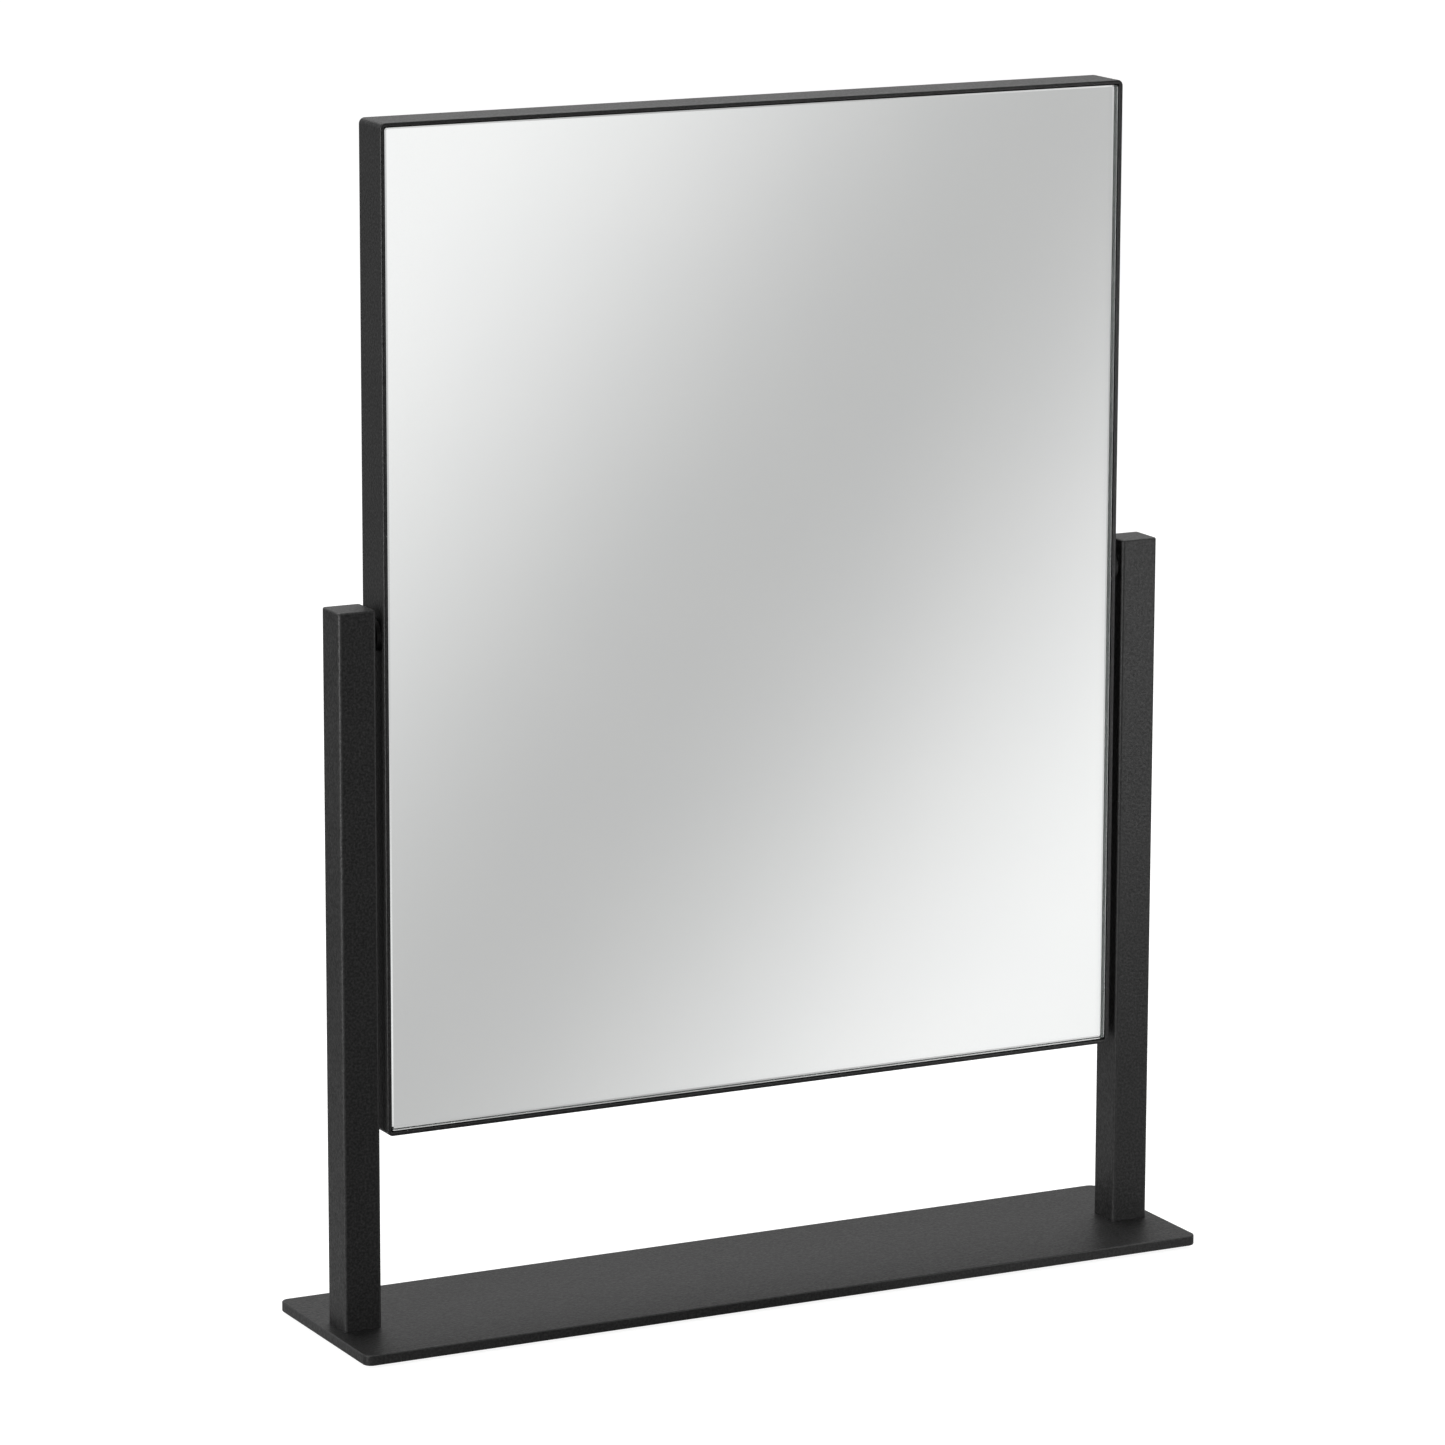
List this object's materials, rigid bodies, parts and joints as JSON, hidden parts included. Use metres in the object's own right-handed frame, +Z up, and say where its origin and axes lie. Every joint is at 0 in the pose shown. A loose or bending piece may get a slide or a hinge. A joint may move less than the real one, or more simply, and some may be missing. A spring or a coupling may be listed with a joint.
{
  "type": "countertop mirror",
  "caption": "Rectangular tilting mirror in a thin black steel frame, hung on friction pivots between square posts that stand on a flat steel base.",
  "frame": {"origin": "middle of the footprint, on the surface that the rubber pads stand on", "axes": "+Z up; +X to the right as seen from the front; the mirror faces -Y"},
  "size_m": [0.352, 0.08, 0.452],
  "materials": {
    "black_powder_coat": "satin",
    "mirror_silver": "mirror",
    "zinc_plated_steel": "satin",
    "black_nylon": "matte",
    "black_rubber": "matte",
    "foam_tape": "matte",
    "hardboard": "matte"
  },
  "bodies": {
    "stand": {"base_plate": "black_powder_coat", "left_post": "black_powder_coat", "right_post": "black_powder_coat", "left_post_cap": "black_powder_coat", "right_post_cap": "black_powder_coat", "left_foot_plug": "zinc_plated_steel", "right_foot_plug": "zinc_plated_steel", "left_base_screw": "zinc_plated_steel", "right_base_screw": "zinc_plated_steel", "left_front_pad": "black_rubber", "left_rear_pad": "black_rubber", "right_front_pad": "black_rubber", "right_rear_pad": "black_rubber", "left_pivot_insert": "zinc_plated_steel", "right_pivot_insert": "zinc_plated_steel", "left_friction_washer": "black_nylon", "right_friction_washer": "black_nylon", "left_inner_washer": "black_nylon", "right_inner_washer": "black_nylon", "left_disc_spring": "zinc_plated_steel", "right_disc_spring": "zinc_plated_steel", "left_pivot_bolt": "zinc_plated_steel", "right_pivot_bolt": "zinc_plated_steel"},
    "mirror": {"mirror_frame": "black_powder_coat", "mirror_glass": "mirror_silver", "left_tape": "foam_tape", "centre_tape": "foam_tape", "right_tape": "foam_tape", "backing_board": "hardboard", "back_panel": "black_powder_coat", "lower_left_bracket": "zinc_plated_steel", "upper_left_bracket": "zinc_plated_steel", "lower_right_bracket": "zinc_plated_steel", "upper_right_bracket": "zinc_plated_steel", "lower_left_panel_screw": "zinc_plated_steel", "upper_left_panel_screw": "zinc_plated_steel", "lower_right_panel_screw": "zinc_plated_steel", "upper_right_panel_screw": "zinc_plated_steel"}
  },
  "joints": [
    {"name": "mirror_tilt", "type": "hinge", "parent": "stand", "child": "mirror", "pos_m": [0, -0.002, 0.265], "axis": [1, 0, 0], "continuous": true}
  ]
}
